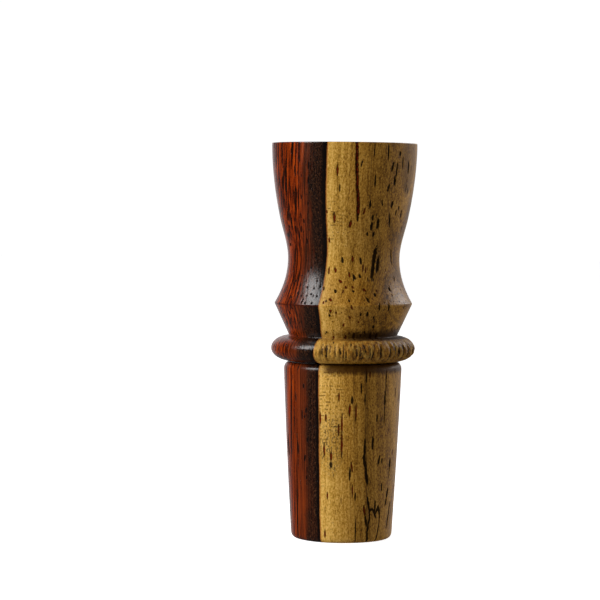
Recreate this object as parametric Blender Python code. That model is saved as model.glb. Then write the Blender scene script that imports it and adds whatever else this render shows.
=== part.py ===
"""A turned wooden duck call that comes apart for tuning.

A flared barrel with a V ridge, a lanyard neck and a bead slips over a
moulded toneboard, whose other end is plugged into a tapered insert.  Two
reeds lie on the toneboard's table under a wedge of cork, and four O-rings
grip the two bored wooden pieces.

Metres, +Z up.  The call stands on the exhaust end of its insert, with the
mouthpiece up, and the origin is the centre of that end.  The reeds face -Y.
"""

import math

import bmesh
import bpy
from mathutils import Vector

MM = 0.001

# ---- whole call ----------------------------------------------------------
CALL_LENGTH = 103.4 * MM
BORE_D = 15.875 * MM  # 5/8 in drill, through the barrel and into the insert
JOINT_Z = 46.25 * MM  # top face of the insert
JOINT_GAP = 0.25 * MM  # between that face and the barrel's end
SEGMENTS = 56  # facets round a large turned piece

# ---- barrel, from the joint up to the mouthpiece --------------------------
RIM_D = 38.0 * MM  # flared mouthpiece
FLARE_Z, FLARE_D, FLARE_SLOPE = 84.16 * MM, 33.65 * MM, 0.208  # where the flare's curve turns over
WAIST_Z, WAIST_D = 73.33 * MM, 29.18 * MM
RIDGE_Z, RIDGE_D, RIDGE_SLOPE = 61.6 * MM, 36.16 * MM, -0.60  # crisp V ridge
RIDGE_EASE = 0.22 * MM  # sanded off the ridge
NECK_Z, NECK_D = 53.05 * MM, 28.2 * MM  # lanyard neck at the foot of the cone
BEAD_Z, BEAD_D, BEAD_HALF_HEIGHT = 49.8 * MM, 37.7 * MM, 3.28 * MM
RIM_LAND = 1.7 * MM  # flat ring round the mouthpiece's dish
RIM_EASE = 0.35 * MM
DISH_DEPTH = 6.2 * MM
BORE_CHAMFER = 0.4 * MM

# ---- insert, the tapered piece below the joint ----------------------------
INSERT_END_D = 26.34 * MM
INSERT_TOP_D = 31.05 * MM
INSERT_BELLY = 0.13 * MM  # how far its side stands out of a straight taper
INSERT_LIP_R, INSERT_LIP_H = 1.25 * MM, 1.5 * MM  # rounding of its lower edge
SHOULDER_R, SHOULDER_H = 1.4 * MM, 1.9 * MM  # rounding of its upper edge
SOCKET_DEPTH = 23.05 * MM  # 5/8 in socket for the toneboard
EXHAUST_D = 11.1 * MM  # 7/16 in exhaust bore
EXHAUST_MOUTH_D = 16.6 * MM
EXHAUST_FLARE_H = 9.0 * MM

# ---- toneboard ------------------------------------------------------------
BOARD_D = 15.3 * MM
BOARD_BOTTOM_Z = 23.5 * MM
BOARD_LENGTH = 72.8 * MM
TABLE_Y = -1.0 * MM  # flat that the reeds lie on
NOTCH_Z = 56.0 * MM  # root of the wedge notch
NOTCH_RISE = 7.0 * MM  # how far its wall leans over the reeds
TABLE_BREAK_Z = 64.5 * MM  # from here the table falls away from the reeds
TIP_DROP = 1.35 * MM
CHANNEL_D = 5.6 * MM
CHANNEL_Y = 1.95 * MM
CHANNEL_MOUTH_D = 9.4 * MM
GROOVE_W = 4.8 * MM
GROOVE_END_Z = 91.5 * MM
BACK_BEVEL_Z, BACK_BEVEL = 82.0 * MM, 3.1 * MM

# ---- O-rings --------------------------------------------------------------
ORING_MEAN_D = 14.04 * MM
ORING_CORD_D = 1.56 * MM
ORING_SLOT_D = 12.1 * MM
ORING_SLOT_W = 2.1 * MM
REAR_ORING_Z = (29.0 * MM, 39.5 * MM)  # these grip the insert's socket
FRONT_ORING_Z = (49.4 * MM, 53.4 * MM)  # these grip the barrel

# ---- reeds and cork -------------------------------------------------------
STACK_GAP = 0.18 * MM
LONG_REED_W, LONG_REED_TIP_Z, LONG_REED_T = 12.8 * MM, 95.8 * MM, 0.36 * MM
SHORT_REED_W, SHORT_REED_TIP_Z, SHORT_REED_T = 12.2 * MM, 89.4 * MM, 0.30 * MM
REED_ROOT_Z = 58.0 * MM
REED_CORNER_R = 2.4 * MM
CORK_TOP_Z = 64.2 * MM
CORK_Y = (-2.35 * MM, -6.2 * MM)

RENDER_WOOD_HEART = (0.190, 0.040, 0.014, 1.0)
RENDER_WOOD_SAP = (0.420, 0.270, 0.085, 1.0)


def clear_scene():
    for ob in list(bpy.data.objects):
        bpy.data.objects.remove(ob, do_unlink=True)


def material(name, colour, roughness, metallic=0.0):
    mat = bpy.data.materials.new(name)
    mat.use_nodes = True
    shader = mat.node_tree.nodes["Principled BSDF"]
    shader.inputs["Base Color"].default_value = colour
    shader.inputs["Roughness"].default_value = roughness
    shader.inputs["Metallic"].default_value = metallic
    mat.diffuse_color = colour
    return mat


def hermite(z, z0, r0, s0, z1, r1, s1):
    """Radius at z on the curve that leaves (z0, r0) with slope s0 and meets (z1, r1) with slope s1."""
    h = z1 - z0
    t = (z - z0) / h
    return (
        (2 * t**3 - 3 * t**2 + 1) * r0
        + (t**3 - 2 * t**2 + t) * h * s0
        + (-2 * t**3 + 3 * t**2) * r1
        + (t**3 - t**2) * h * s1
    )


def steps(a, b, n, ends=(True, True)):
    """n + 1 even values from a to b, without either end if asked."""
    values = [a + (b - a) * i / n for i in range(n + 1)]
    return values[0 if ends[0] else 1 : None if ends[1] else -1]


def finish_mesh(bm, name, mat, sharp_deg=35.0):
    bmesh.ops.recalc_face_normals(bm, faces=bm.faces[:])
    mesh = bpy.data.meshes.new(name)
    bm.to_mesh(mesh)
    bm.free()
    mesh.shade_smooth()
    mesh.set_sharp_from_angle(angle=math.radians(sharp_deg))
    ob = bpy.data.objects.new(name, mesh)
    bpy.context.scene.collection.objects.link(ob)
    if mat is not None:
        mesh.materials.append(mat)
    return ob


def turned(name, outline, mat, segments=SEGMENTS, closed=True, sharp_deg=35.0):
    """Turns a list of (radius, height) points about Z. A closed outline makes a ring; an open one starts and ends on the axis."""
    bm = bmesh.new()
    verts = [bm.verts.new((r, 0.0, z)) for r, z in outline]
    edges = [bm.edges.new(pair) for pair in zip(verts, verts[1:])]
    if closed:
        edges.append(bm.edges.new((verts[-1], verts[0])))
    bmesh.ops.spin(
        bm,
        geom=verts + edges,
        cent=(0, 0, 0),
        axis=(0, 0, 1),
        angle=2 * math.pi,
        steps=segments,
        use_merge=True,
        use_duplicate=False,
    )
    bmesh.ops.remove_doubles(bm, verts=bm.verts[:], dist=1e-7)
    return finish_mesh(bm, name, mat, sharp_deg)


def prism(name, outline, half_width, mat=None):
    """Extrudes a (y, z) outline across X, to half_width on each side."""
    bm = bmesh.new()
    face = bm.faces.new([bm.verts.new((-half_width, y, z)) for y, z in outline])
    out = bmesh.ops.extrude_face_region(bm, geom=[face])
    moved = [g for g in out["geom"] if isinstance(g, bmesh.types.BMVert)]
    bmesh.ops.translate(bm, verts=moved, vec=(2 * half_width, 0, 0))
    return finish_mesh(bm, name, mat, 30.0)


def cutter(ob):
    ob.hide_render = True
    ob.display_type = "WIRE"
    return ob


def boolean(ob, other, operation="DIFFERENCE"):
    mod = ob.modifiers.new(other.name, "BOOLEAN")
    mod.operation = operation
    mod.solver = "EXACT"
    mod.object = other


def place(ob, x, y, z, parent=None):
    """Moves an object's origin to a point without moving its shape, and parents it."""
    here = Vector((x, y, z))
    for v in ob.data.vertices:
        v.co -= here
    ob.location = here - (parent.location if parent else Vector())
    if parent:
        ob.parent = parent


def pivot(name, x, y, z):
    empty = bpy.data.objects.new(name, None)
    empty.empty_display_type = "PLAIN_AXES"
    empty.empty_display_size = 0.01
    empty.location = (x, y, z)
    bpy.context.scene.collection.objects.link(empty)
    return empty


# ---- turned profiles ------------------------------------------------------
def barrel_side(z):
    """Outer radius of the barrel above its lanyard neck."""
    if z >= FLARE_Z:
        return hermite(z, FLARE_Z, FLARE_D / 2, FLARE_SLOPE, CALL_LENGTH, RIM_D / 2, 0.0)
    if z >= WAIST_Z:
        return hermite(z, WAIST_Z, WAIST_D / 2, 0.0, FLARE_Z, FLARE_D / 2, FLARE_SLOPE)
    if z >= RIDGE_Z:
        return hermite(z, RIDGE_Z, RIDGE_D / 2, RIDGE_SLOPE, WAIST_Z, WAIST_D / 2, 0.0)
    return NECK_D / 2 + (RIDGE_D - NECK_D) / 2 * (z - NECK_Z) / (RIDGE_Z - NECK_Z)


def dish(t):
    """(radius, depth below the rim) along the mouthpiece's dish, from the bore at t = 0 to the rim's flat at t = 1: a Bezier curve, cupped under the rim and rounded over into the bore."""
    wide, narrow = RIM_D / 2 - RIM_LAND, BORE_D / 2
    across = wide - narrow
    points = (
        (narrow, DISH_DEPTH),
        (narrow, 0.42 * DISH_DEPTH),
        (narrow + 0.55 * across, 0.55 * DISH_DEPTH),
        (wide, 0.0),
    )
    weights = ((1 - t) ** 3, 3 * t * (1 - t) ** 2, 3 * t**2 * (1 - t), t**3)
    return tuple(sum(w * p[i] for w, p in zip(weights, points)) for i in (0, 1))


def barrel_outline():
    out = []
    # down the outside, from the rim
    out.append((RIM_D / 2 - RIM_EASE, CALL_LENGTH))
    out += [(barrel_side(z), z) for z in steps(CALL_LENGTH - RIM_EASE, FLARE_Z, 6)]
    out += [(barrel_side(z), z) for z in steps(FLARE_Z, WAIST_Z, 5, (False, True))]
    out += [(barrel_side(z), z) for z in steps(WAIST_Z, RIDGE_Z + RIDGE_EASE, 6, (False, True))]
    out.append((barrel_side(RIDGE_Z - RIDGE_EASE), RIDGE_Z - RIDGE_EASE))
    out.append((NECK_D / 2, NECK_Z))
    # the bead, half an ellipse standing on the neck
    for i in range(1, 12):
        a = math.pi * i / 12
        out.append(
            (
                NECK_D / 2 + (BEAD_D - NECK_D) / 2 * math.sin(a),
                BEAD_Z + BEAD_HALF_HEIGHT * math.cos(a),
            )
        )
    end = JOINT_Z + JOINT_GAP
    out.append((NECK_D / 2, end))
    # end face, and up the bore
    out.append((BORE_D / 2 + BORE_CHAMFER, end))
    out.append((BORE_D / 2, end + BORE_CHAMFER))
    for t in steps(0.0, 1.0, 7):
        r, depth = dish(t)
        out.append((r, CALL_LENGTH - depth))
    return out


def insert_side(z):
    """Outer radius of the insert: a straight taper with a slight belly."""
    t = z / JOINT_Z
    return (INSERT_END_D + (INSERT_TOP_D - INSERT_END_D) * t) / 2 + INSERT_BELLY * 4 * t * (1 - t)


def insert_outline():
    out = []
    top = insert_side(JOINT_Z - SHOULDER_H)
    for i in range(6):
        a = math.pi / 2 * i / 5
        out.append(
            (
                top - SHOULDER_R + SHOULDER_R * math.sin(a),
                JOINT_Z - SHOULDER_H + SHOULDER_H * math.cos(a),
            )
        )
    out += [
        (insert_side(z), z)
        for z in steps(JOINT_Z - SHOULDER_H, INSERT_LIP_H, 6, (False, True))
    ]
    side = insert_side(INSERT_LIP_H)
    for i in range(1, 6):
        a = math.pi / 2 * i / 5
        out.append(
            (
                side - INSERT_LIP_R + INSERT_LIP_R * math.cos(a),
                INSERT_LIP_H - INSERT_LIP_H * math.sin(a),
            )
        )
    # exhaust end, and up inside: a bell, the exhaust bore, the socket
    for i in range(6):
        a = math.pi / 2 * i / 5
        out.append(
            (
                EXHAUST_MOUTH_D / 2 - (EXHAUST_MOUTH_D - EXHAUST_D) / 2 * math.sin(a),
                EXHAUST_FLARE_H * (1 - math.cos(a)),
            )
        )
    out.append((EXHAUST_D / 2, JOINT_Z - SOCKET_DEPTH))
    out.append((BORE_D / 2, JOINT_Z - SOCKET_DEPTH))
    out.append((BORE_D / 2, JOINT_Z - BORE_CHAMFER))
    out.append((BORE_D / 2 + BORE_CHAMFER, JOINT_Z))
    return out


def board_outline():
    """The toneboard's round blank, with its four O-ring slots."""
    r, ease = BOARD_D / 2, 0.6 * MM
    top = BOARD_BOTTOM_Z + BOARD_LENGTH
    out = [(0.0, BOARD_BOTTOM_Z), (r - ease, BOARD_BOTTOM_Z), (r, BOARD_BOTTOM_Z + ease)]
    for z in REAR_ORING_Z + FRONT_ORING_Z:
        low, high = z - ORING_SLOT_W / 2, z + ORING_SLOT_W / 2
        out += [(r, low), (ORING_SLOT_D / 2, low), (ORING_SLOT_D / 2, high), (r, high)]
    out += [(r, top - 2.2 * MM), (r - 0.8 * MM, top - 0.7 * MM), (r - 2.4 * MM, top), (0.0, top)]
    return out


def make_board(mat):
    board = turned("toneboard", board_outline(), mat, segments=40, closed=False)
    r, top = BOARD_D / 2, BOARD_BOTTOM_Z + BOARD_LENGTH
    over = 3 * MM
    slope = NOTCH_RISE / (r + TABLE_Y)
    # the table, and the notch wall that leans over the reeds
    table = [
        (TABLE_Y, NOTCH_Z),
        (TABLE_Y, TABLE_BREAK_Z),
        (TABLE_Y + TIP_DROP, top + 0.0005 * MM),
        (TABLE_Y + TIP_DROP * 1.1, top + over),
        (-r - over, top + over),
        (-r - over, NOTCH_Z + slope * (r + over + TABLE_Y)),
    ]
    boolean(board, cutter(prism("cut_table", table, r + over)))
    # the tone channel: a tapered hole in the plug, then an open groove that rises to the table
    hole = [
        (0.0, BOARD_BOTTOM_Z - over),
        (CHANNEL_MOUTH_D / 2, BOARD_BOTTOM_Z - over),
        (CHANNEL_MOUTH_D / 2, BOARD_BOTTOM_Z + 2 * MM),
        (CHANNEL_D / 2, BOARD_BOTTOM_Z + 20 * MM),
        (CHANNEL_D / 2, NOTCH_Z + 1.5 * MM),
        (0.0, NOTCH_Z + 1.5 * MM),
    ]
    channel = cutter(turned("cut_channel", hole, None, segments=24, closed=False))
    for v in channel.data.vertices:
        t = min(max((v.co.z - BOARD_BOTTOM_Z) / (20 * MM), 0.0), 1.0)
        v.co.y += CHANNEL_Y * t
    boolean(board, channel)
    floor = CHANNEL_Y + CHANNEL_D / 2 - 0.4 * MM
    groove = [(TABLE_Y - 0.25 * MM, NOTCH_Z - 1.0 * MM), (floor, NOTCH_Z - 1.0 * MM)]
    for t in steps(0.0, 1.0, 6):
        z = NOTCH_Z + 3 * MM + (GROOVE_END_Z - NOTCH_Z - 3 * MM) * t
        fall = TABLE_Y + TIP_DROP * max(0.0, z - TABLE_BREAK_Z) / (top - TABLE_BREAK_Z)
        groove.append((floor + (fall - 0.4 * MM - floor) * t**1.6, z))
    groove.append((TABLE_Y - 2 * MM, GROOVE_END_Z))
    groove.append((TABLE_Y - 2 * MM, NOTCH_Z + 3.4 * MM))
    boolean(board, cutter(prism("cut_groove", groove, GROOVE_W / 2)))
    # the back of the tip is pared down
    back = [
        (r + over, BACK_BEVEL_Z - over * 1.2),
        (r + over, top + over),
        (r - BACK_BEVEL - 0.75 * MM, top + over),
        (r + 0.2 * MM, BACK_BEVEL_Z),
    ]
    boolean(board, cutter(prism("cut_back", back, r + over)))
    return board


def make_reed(name, width, tip_z, thickness, face_y, mat):
    """A flat reed with a rounded tip, its lower face at face_y."""
    half = width / 2
    pts = [(-half, REED_ROOT_Z), (half, REED_ROOT_Z)]
    for i in range(7):
        a = math.pi / 2 * i / 6
        pts.append(
            (
                half - REED_CORNER_R + REED_CORNER_R * math.cos(a),
                tip_z - REED_CORNER_R + REED_CORNER_R * math.sin(a),
            )
        )
    for i in range(7):
        a = math.pi / 2 * (1 + i / 6)
        pts.append(
            (
                -half + REED_CORNER_R + REED_CORNER_R * math.cos(a),
                tip_z - REED_CORNER_R + REED_CORNER_R * math.sin(a),
            )
        )
    bm = bmesh.new()
    face = bm.faces.new([bm.verts.new((x, face_y, z)) for x, z in pts])
    out = bmesh.ops.extrude_face_region(bm, geom=[face])
    moved = [g for g in out["geom"] if isinstance(g, bmesh.types.BMVert)]
    bmesh.ops.translate(bm, verts=moved, vec=(0, -thickness, 0))
    return finish_mesh(bm, name, mat, 30.0)


def make_cork(mat):
    """The wedge that is pushed in across the notch, over both reeds, trimmed round to clear the bore."""
    slope = NOTCH_RISE / (BOARD_D / 2 + TABLE_Y)
    gap = 0.25 * MM * math.hypot(1.0, slope)

    def wall(y):
        return NOTCH_Z + slope * (TABLE_Y - y) + gap

    low, high = CORK_Y
    outline = [
        (low, wall(low)),
        (low, CORK_TOP_Z),
        (high + 2.1 * MM, CORK_TOP_Z),
        (high, CORK_TOP_Z - 1.6 * MM),
        (high, wall(high)),
    ]
    cork = prism("wedge_cork", outline, 6.6 * MM, mat)
    clear = [
        (0.0, NOTCH_Z - 2 * MM),
        (7.25 * MM, NOTCH_Z - 2 * MM),
        (7.25 * MM, CORK_TOP_Z + 2 * MM),
        (0.0, CORK_TOP_Z + 2 * MM),
    ]
    boolean(cork, cutter(turned("trim_cork", clear, None, segments=48, closed=False)), "INTERSECT")
    return cork


def make_oring(name, z, mat):
    n = 8
    outline = [
        (
            ORING_MEAN_D / 2 + ORING_CORD_D / 2 * math.cos(2 * math.pi * (i + 0.5) / n),
            z + ORING_CORD_D / 2 * math.sin(2 * math.pi * (i + 0.5) / n),
        )
        for i in range(n)
    ]
    return turned(name, outline, mat, segments=32, sharp_deg=80.0)


def main():
    clear_scene()
    heart = material("oiled_rosewood", RENDER_WOOD_HEART, 0.38)
    sap = material("oiled_sapwood", RENDER_WOOD_SAP, 0.45)
    black = material("moulded_toneboard", (0.018, 0.018, 0.02, 1.0), 0.32)
    rubber = material("oring_rubber", (0.010, 0.010, 0.010, 1.0), 0.55)
    film = material("reed_film", (0.72, 0.73, 0.70, 1.0), 0.28)
    film_thin = material("reed_film_thin", (0.78, 0.79, 0.77, 1.0), 0.30)
    cork_mat = material("natural_cork", (0.48, 0.30, 0.16, 1.0), 0.85)

    insert_axis = pivot("insert_axis", 0, 0, 0)
    board_axis = pivot("toneboard_axis", 0, 0, BOARD_BOTTOM_Z)
    barrel_axis = pivot("barrel_axis", 0, 0, JOINT_Z + JOINT_GAP)
    reed_pivot = pivot("reed_pivot", 0, TABLE_Y - STACK_GAP, CORK_TOP_Z)

    place(turned("insert", insert_outline(), heart), 0, 0, 0, insert_axis)
    place(turned("barrel", barrel_outline(), sap), 0, 0, JOINT_Z + JOINT_GAP, barrel_axis)

    board = make_board(black)
    board.parent = board_axis
    board.location = -board_axis.location

    for label, heights in (("rear", REAR_ORING_Z), ("front", FRONT_ORING_Z)):
        for i, z in enumerate(heights):
            ring = make_oring(f"{label}_oring_{i + 1}", z, rubber)
            place(ring, 0, 0, z, board_axis)

    long_y = TABLE_Y - STACK_GAP
    short_y = long_y - LONG_REED_T - STACK_GAP
    long_reed = make_reed("long_reed", LONG_REED_W, LONG_REED_TIP_Z, LONG_REED_T, long_y, film)
    short_reed = make_reed("short_reed", SHORT_REED_W, SHORT_REED_TIP_Z, SHORT_REED_T, short_y, film_thin)
    for reed in (long_reed, short_reed):
        place(reed, 0, long_y, CORK_TOP_Z, reed_pivot)

    cork = make_cork(cork_mat)
    cork.parent = board_axis
    cork.location = -board_axis.location


main()
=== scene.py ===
import math

import bmesh
import bpy
import numpy as np
from mathutils import Matrix, Vector, noise


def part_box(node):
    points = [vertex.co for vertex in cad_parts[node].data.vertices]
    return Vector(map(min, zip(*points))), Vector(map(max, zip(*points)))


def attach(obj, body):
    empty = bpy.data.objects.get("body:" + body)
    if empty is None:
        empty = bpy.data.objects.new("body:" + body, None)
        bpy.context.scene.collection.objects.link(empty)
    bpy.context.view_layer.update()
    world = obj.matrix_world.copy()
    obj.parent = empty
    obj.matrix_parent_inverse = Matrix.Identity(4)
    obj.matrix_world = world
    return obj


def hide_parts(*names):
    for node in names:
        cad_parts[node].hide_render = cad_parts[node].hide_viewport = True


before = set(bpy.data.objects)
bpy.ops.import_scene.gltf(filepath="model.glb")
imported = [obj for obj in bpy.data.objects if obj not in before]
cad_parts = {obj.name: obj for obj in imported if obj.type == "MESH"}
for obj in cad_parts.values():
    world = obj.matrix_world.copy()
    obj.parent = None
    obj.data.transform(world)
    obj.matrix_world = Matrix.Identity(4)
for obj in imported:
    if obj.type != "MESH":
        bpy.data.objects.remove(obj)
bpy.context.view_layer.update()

# Lengths in this script are millimetres unless a name ends in _m.  Blender's are metres.
MM = 0.001

scene = bpy.context.scene
scene.view_settings.view_transform = "Standard"
scene.view_settings.look = "None"
scene.view_settings.exposure = 0.0
scene.view_settings.gamma = 1.0


# ======================================================================
# Camera: a long lens about 0.62 m away, level with the upper third
# ======================================================================
CAM_PAN, CAM_PITCH, CAM_ROLL = math.radians(-1.046), math.radians(2.452), math.radians(0.492)
CAM_AT = Vector((0.0, -622.83, 88.94)) * MM


def make_camera():
    cam = bpy.data.cameras.new("camera")
    cam.lens, cam.sensor_width = 142.56, 36.0
    cam.clip_start, cam.clip_end = 0.01, 50
    cam.dof.use_dof = False
    ob = bpy.data.objects.new("camera", cam)
    scene.collection.objects.link(ob)
    forward = Vector(
        (math.sin(CAM_PAN) * math.cos(CAM_PITCH), math.cos(CAM_PAN) * math.cos(CAM_PITCH), -math.sin(CAM_PITCH))
    )
    right = Vector((math.cos(CAM_PAN), -math.sin(CAM_PAN), 0.0))
    up = right.cross(forward)
    c, s = math.cos(CAM_ROLL), math.sin(CAM_ROLL)
    r2, u2 = c * right + s * up, c * up - s * right
    rot = Matrix((r2, u2, -forward)).transposed()
    ob.matrix_world = Matrix.Translation(CAM_AT) @ rot.to_4x4()
    scene.camera = ob


make_camera()


# ======================================================================
# Shader maths written as expressions
# ======================================================================
class Val:
    """A socket that can be added, multiplied and so on, each time making a Math node."""

    def __init__(self, g, socket):
        self.g, self.socket = g, socket

    def __add__(self, o):
        return self.g.math("ADD", self, o)

    __radd__ = __add__

    def __sub__(self, o):
        return self.g.math("SUBTRACT", self, o)

    def __rsub__(self, o):
        return self.g.math("SUBTRACT", o, self)

    def __mul__(self, o):
        return self.g.math("MULTIPLY", self, o)

    __rmul__ = __mul__

    def __truediv__(self, o):
        return self.g.math("DIVIDE", self, o)

    def __neg__(self):
        return self.g.math("MULTIPLY", self, -1.0)


class Graph:
    def __init__(self, name):
        self.mat = bpy.data.materials.new(name)
        self.mat.use_nodes = True
        self.nt = self.mat.node_tree
        self.bsdf = self.nt.nodes["Principled BSDF"]

    def put(self, socket, value):
        if isinstance(value, Val):
            self.nt.links.new(value.socket, socket)
        elif value is not None:
            if hasattr(socket.default_value, "__len__") and not hasattr(value, "__len__"):
                value = [value] * len(socket.default_value)
            if hasattr(socket.default_value, "__len__") and len(socket.default_value) == 4 and len(value) == 3:
                value = (*value, 1.0)
            socket.default_value = value

    def node(self, kind, **props):
        n = self.nt.nodes.new(kind)
        for k, v in props.items():
            setattr(n, k, v)
        return n

    def math(self, op, a, b=None, c=None, clamp=False):
        n = self.node("ShaderNodeMath", operation=op, use_clamp=clamp)
        for socket, v in zip(n.inputs, (a, b, c)):
            if v is not None:
                self.put(socket, v)
        return Val(self, n.outputs[0])

    def step(self, low, high, v, out=(0.0, 1.0)):
        n = self.node("ShaderNodeMapRange", interpolation_type="SMOOTHSTEP")
        for i, x in enumerate((v, low, high, out[0], out[1])):
            self.put(n.inputs[i], x)
        return Val(self, n.outputs[0])

    def clamp(self, v, low=0.0, high=1.0):
        n = self.node("ShaderNodeClamp")
        for i, x in enumerate((v, low, high)):
            self.put(n.inputs[i], x)
        return Val(self, n.outputs[0])

    def vec(self, x, y, z):
        n = self.node("ShaderNodeCombineXYZ")
        for i, v in enumerate((x, y, z)):
            self.put(n.inputs[i], v)
        return Val(self, n.outputs[0])

    def place(self):
        """The piece's own point socket in metres, and its x, y, z in millimetres."""
        tc = self.node("ShaderNodeTexCoord")
        n = self.node("ShaderNodeSeparateXYZ")
        self.nt.links.new(tc.outputs["Object"], n.inputs[0])
        return (tc.outputs["Object"], *(Val(self, o) * 1000.0 for o in n.outputs))

    def moved(self, base, *by):
        """A point socket moved by x, y, z in millimetres."""
        n = self.node("ShaderNodeVectorMath", operation="ADD")
        self.nt.links.new(base, n.inputs[0])
        self.put(n.inputs[1], self.vec(*(v * MM if isinstance(v, Val) else v * MM for v in by)))
        return n.outputs[0]

    def spot(self, base, size, turn=0.0, seed=0.0):
        """A point socket (metres) turned about Z, then measured in units of size (millimetres)."""
        n = self.node("ShaderNodeMapping", vector_type="TEXTURE")
        self.nt.links.new(base, n.inputs["Vector"])
        n.inputs["Location"].default_value = (seed * MM, -seed * MM, 2.3 * seed * MM)
        n.inputs["Rotation"].default_value = (0.0, 0.0, turn)
        n.inputs["Scale"].default_value = tuple(v * MM for v in size)
        return n.outputs[0]

    def noise(self, base, size, turn=0.0, seed=0.0, detail=2.0, rough=0.5):
        n = self.node("ShaderNodeTexNoise", noise_dimensions="3D")
        self.nt.links.new(self.spot(base, size, turn, seed), n.inputs["Vector"])
        n.inputs["Scale"].default_value = 1.0
        n.inputs["Detail"].default_value = detail
        n.inputs["Roughness"].default_value = rough
        return Val(self, n.outputs[0])

    def voronoi(self, base, size, turn=0.0, seed=0.0, feature="F1"):
        """(distance, three random numbers of the nearest cell)"""
        n = self.node("ShaderNodeTexVoronoi", voronoi_dimensions="3D", feature=feature)
        self.nt.links.new(self.spot(base, size, turn, seed), n.inputs["Vector"])
        n.inputs["Scale"].default_value = 1.0
        sep = self.node("ShaderNodeSeparateColor")
        self.nt.links.new(n.outputs["Color"], sep.inputs[0])
        return Val(self, n.outputs["Distance"]), [Val(self, o) for o in sep.outputs]

    def ramp(self, v, stops, mode="LINEAR"):
        n = self.node("ShaderNodeValToRGB")
        n.color_ramp.interpolation = mode
        els = n.color_ramp.elements
        while len(els) > 1:
            els.remove(els[-1])
        for i, (p, c) in enumerate(stops):
            e = els[0] if i == 0 else els.new(p)
            e.position = p
            e.color = (*c, 1.0) if len(c) == 3 else c
        self.put(n.inputs[0], v)
        return Val(self, n.outputs[0])

    def mix(self, fac, a, b, blend="MIX"):
        n = self.node("ShaderNodeMix", data_type="RGBA", blend_type=blend)
        self.put(n.inputs[0], fac)
        self.put(n.inputs[6], a)
        self.put(n.inputs[7], b)
        return Val(self, n.outputs[2])

    def lerp(self, fac, a, b):
        n = self.node("ShaderNodeMix", data_type="FLOAT")
        self.put(n.inputs[0], fac)
        self.put(n.inputs[2], a)
        self.put(n.inputs[3], b)
        return Val(self, n.outputs[0])

    def attribute(self, name):
        n = self.node("ShaderNodeAttribute", attribute_name=name)
        return Val(self, n.outputs["Fac"])

    def bump(self, height_mm, strength=1.0, normal=None):
        """Height in millimetres."""
        n = self.node("ShaderNodeBump")
        n.inputs["Strength"].default_value = strength
        n.inputs["Distance"].default_value = MM
        self.put(n.inputs["Height"], height_mm)
        if normal is not None:
            self.put(n.inputs["Normal"], normal)
        return Val(self, n.outputs[0])

    def finish(self, colour, roughness, normal=None, **more):
        self.put(self.bsdf.inputs["Base Color"], colour)
        self.put(self.bsdf.inputs["Roughness"], roughness)
        if normal is not None:
            self.put(self.bsdf.inputs["Normal"], normal)
        for k, v in more.items():
            self.put(self.bsdf.inputs[k.replace("_", " ")], v)
        return self.mat


# ======================================================================
# Long vessels that the lathe cut open on the side towards the camera
# ======================================================================
# (degrees round from the front, height, length, width, degrees of lean). Everywhere else they are left to chance.
ROUND = 16.0  # millimetres of travel round the piece for each radian, where a mark is drawn
BARREL_RED = (
    (-5.5, 96.1, 2.5, 0.41, 3), (-8.5, 84.0, 2.8, 0.56, -2), (5.7, 82.5, 1.9, 0.62, -7), (-14.0, 78.3, 1.2, 0.39, -3),
    (17.5, 85.8, 1.8, 0.38, -12), (-15.0, 85.6, 0.9, 0.35, -1), (9.0, 73.5, 1.7, 0.46, 4), (-14.7, 70.6, 1.8, 0.5, 3),
    (-8.2, 70.7, 1.3, 0.54, 8), (5.8, 69.4, 1.3, 0.45, 15), (-3.0, 67.8, 1.2, 0.52, 40), (2.1, 66.3, 0.7, 0.42, 11),
    (8.6, 66.3, 0.8, 0.45, 25), (19.4, 65.6, 1.2, 0.55, 47), (-11.0, 63.1, 1.0, 0.54, 50), (-16.8, 62.4, 0.7, 0.35, 9),
    (7.1, 61.2, 1.5, 0.43, 9), (-10.8, 60.3, 0.9, 0.49, 0), (-6.1, 59.8, 0.9, 0.42, -20), (5.9, 58.6, 1.0, 0.4, 15),
    (0.5, 56.7, 1.1, 0.42, -2), (14.3, 57.4, 0.7, 0.38, 21), (-9.7, 53.3, 0.9, 0.58, 3), (2.7, 53.5, 1.0, 0.5, 4),
)
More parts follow.
